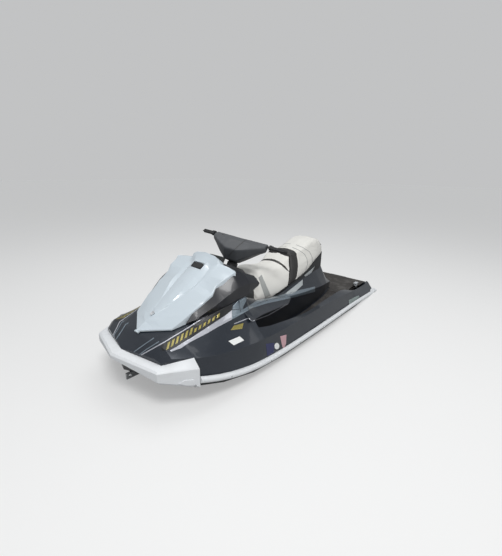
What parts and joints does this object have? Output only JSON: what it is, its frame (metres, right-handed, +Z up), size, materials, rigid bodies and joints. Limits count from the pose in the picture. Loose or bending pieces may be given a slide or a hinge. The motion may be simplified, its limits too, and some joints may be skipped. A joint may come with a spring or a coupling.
{
  "type": "personal watercraft",
  "caption": "Sit-down personal watercraft with a stepped long seat, wide bow bumper, lifting storage hood, footwells, turning bars and a jet pump with steering nozzle and reverse bucket",
  "frame": {"origin": "on the waterline, amidships on the centre line", "axes": "+X to port, +Y to the stern, +Z up"},
  "size_m": [1.2212, 3.27, 1.1938],
  "materials": {
    "hull_gelcoat": "smooth black gelcoat",
    "deck_metallic": "dark slate metallic gelcoat",
    "white_bumper": "white moulded rubber-like plastic, slightly scuffed",
    "black_rubber": "black moulded rubber",
    "mat_foam": "dark grey ribbed foam mat",
    "hood_white": "cool white gloss moulding",
    "cowl_black": "black gloss moulding",
    "dark_plastic": "textured dark grey plastic",
    "mirror_glass": "mirror glass",
    "screen": "dark display window",
    "seat_vinyl": "white marine vinyl with piping and dark bands",
    "pump_aluminium": "cast aluminium, satin",
    "steel": "stainless steel",
    "engine_iron": "dull engine casting",
    "pale_fitting": "pale moulded plastic"
  },
  "bodies": {
    "hull_body": {"hull": "hull_gelcoat", "deck": "deck_metallic", "engine_block": "engine_iron", "bow_bumper": "white_bumper", "gunwale_rails": "white_bumper", "rail_strips": "black_rubber", "corner_caps": "white_bumper", "stern_rails": "white_bumper", "footwell_mats": "mat_foam", "platform_mat": "mat_foam", "cleats": "pale_fitting", "console": "dark_plastic", "steering_base": "black_rubber", "display": "screen", "seat_plinth": "dark_plastic", "pump_housing": "pump_aluminium", "stator": "pump_aluminium", "ride_plate": "pump_aluminium", "intake_grate": "pump_aluminium", "sponsons": "dark_plastic", "step_brackets": "steel", "tow_hook": "steel", "stern_eyes": "steel", "bow_eye": "steel", "fuel_cap": "dark_plastic", "drain_plugs": "dark_plastic"},
    "hood_lid": {"hood": "hood_white", "hood_cowls": "cowl_black", "hood_latch": "dark_plastic", "mirrors": "mirror_glass"},
    "bars": {"handlebar": "steel", "grips": "black_rubber", "switch_boxes": "dark_plastic", "levers": "dark_plastic", "handlebar_pad": "dark_plastic"},
    "glove_door": {"glove_lid": "dark_plastic"},
    "front_seat_unit": {"front_seat": "seat_vinyl"},
    "rear_seat_unit": {"rear_seat": "seat_vinyl", "grab_handle": "dark_plastic"},
    "rotor": {"impeller": "steel", "drive_shaft": "steel"},
    "nozzle": {"steering_nozzle": "pump_aluminium"},
    "bucket": {"reverse_bucket": "pump_aluminium"},
    "step": {"boarding_step": "steel"}
  },
  "joints": [
    {"name": "steer", "type": "hinge", "parent": "hull_body", "child": "bars", "pos_m": [0, -0.497, 0.692], "axis": [0, 0.4384, 0.8988], "range_deg": [-45, 5]},
    {"name": "nozzle_turn", "type": "hinge", "parent": "hull_body", "child": "nozzle", "pos_m": [0, 1.5, -0.135], "axis": [0, 0, 1], "range_deg": [-4, 36]},
    {"name": "hood_lift", "type": "hinge", "parent": "hull_body", "child": "hood_lid", "pos_m": [0, -1.436, 0.395], "axis": [1, 0, 0], "range_deg": [0, 60]},
    {"name": "glove_lid_lift", "type": "hinge", "parent": "hull_body", "child": "glove_door", "pos_m": [0, -0.3989, 0.54819], "axis": [-1, 0, 0], "range_deg": [0, 60]},
    {"name": "front_seat_lift", "type": "slide", "parent": "hull_body", "child": "front_seat_unit", "axis": [0, 0.4384, 0.8988], "range_m": [0, 0.25]},
    {"name": "rear_seat_lift", "type": "slide", "parent": "hull_body", "child": "rear_seat_unit", "axis": [0, 0.4384, 0.8988], "range_m": [0, 0.25]},
    {"name": "impeller_spin", "type": "hinge", "parent": "hull_body", "child": "rotor", "pos_m": [0, 1.27, -0.135], "axis": [0, 1, 0], "continuous": true},
    {"name": "bucket_drop", "type": "hinge", "parent": "hull_body", "child": "bucket", "pos_m": [0, 1.5, -0.135], "axis": [-1, 0, 0], "range_deg": [0, 74]},
    {"name": "step_fold", "type": "hinge", "parent": "hull_body", "child": "step", "pos_m": [0, 1.604, -0.11], "axis": [-1, 0, 0], "range_deg": [0, 170]}
  ],
  "couplings": [
    {"joint": "nozzle_turn", "follows": "steer", "ratio": -0.8}
  ]
}
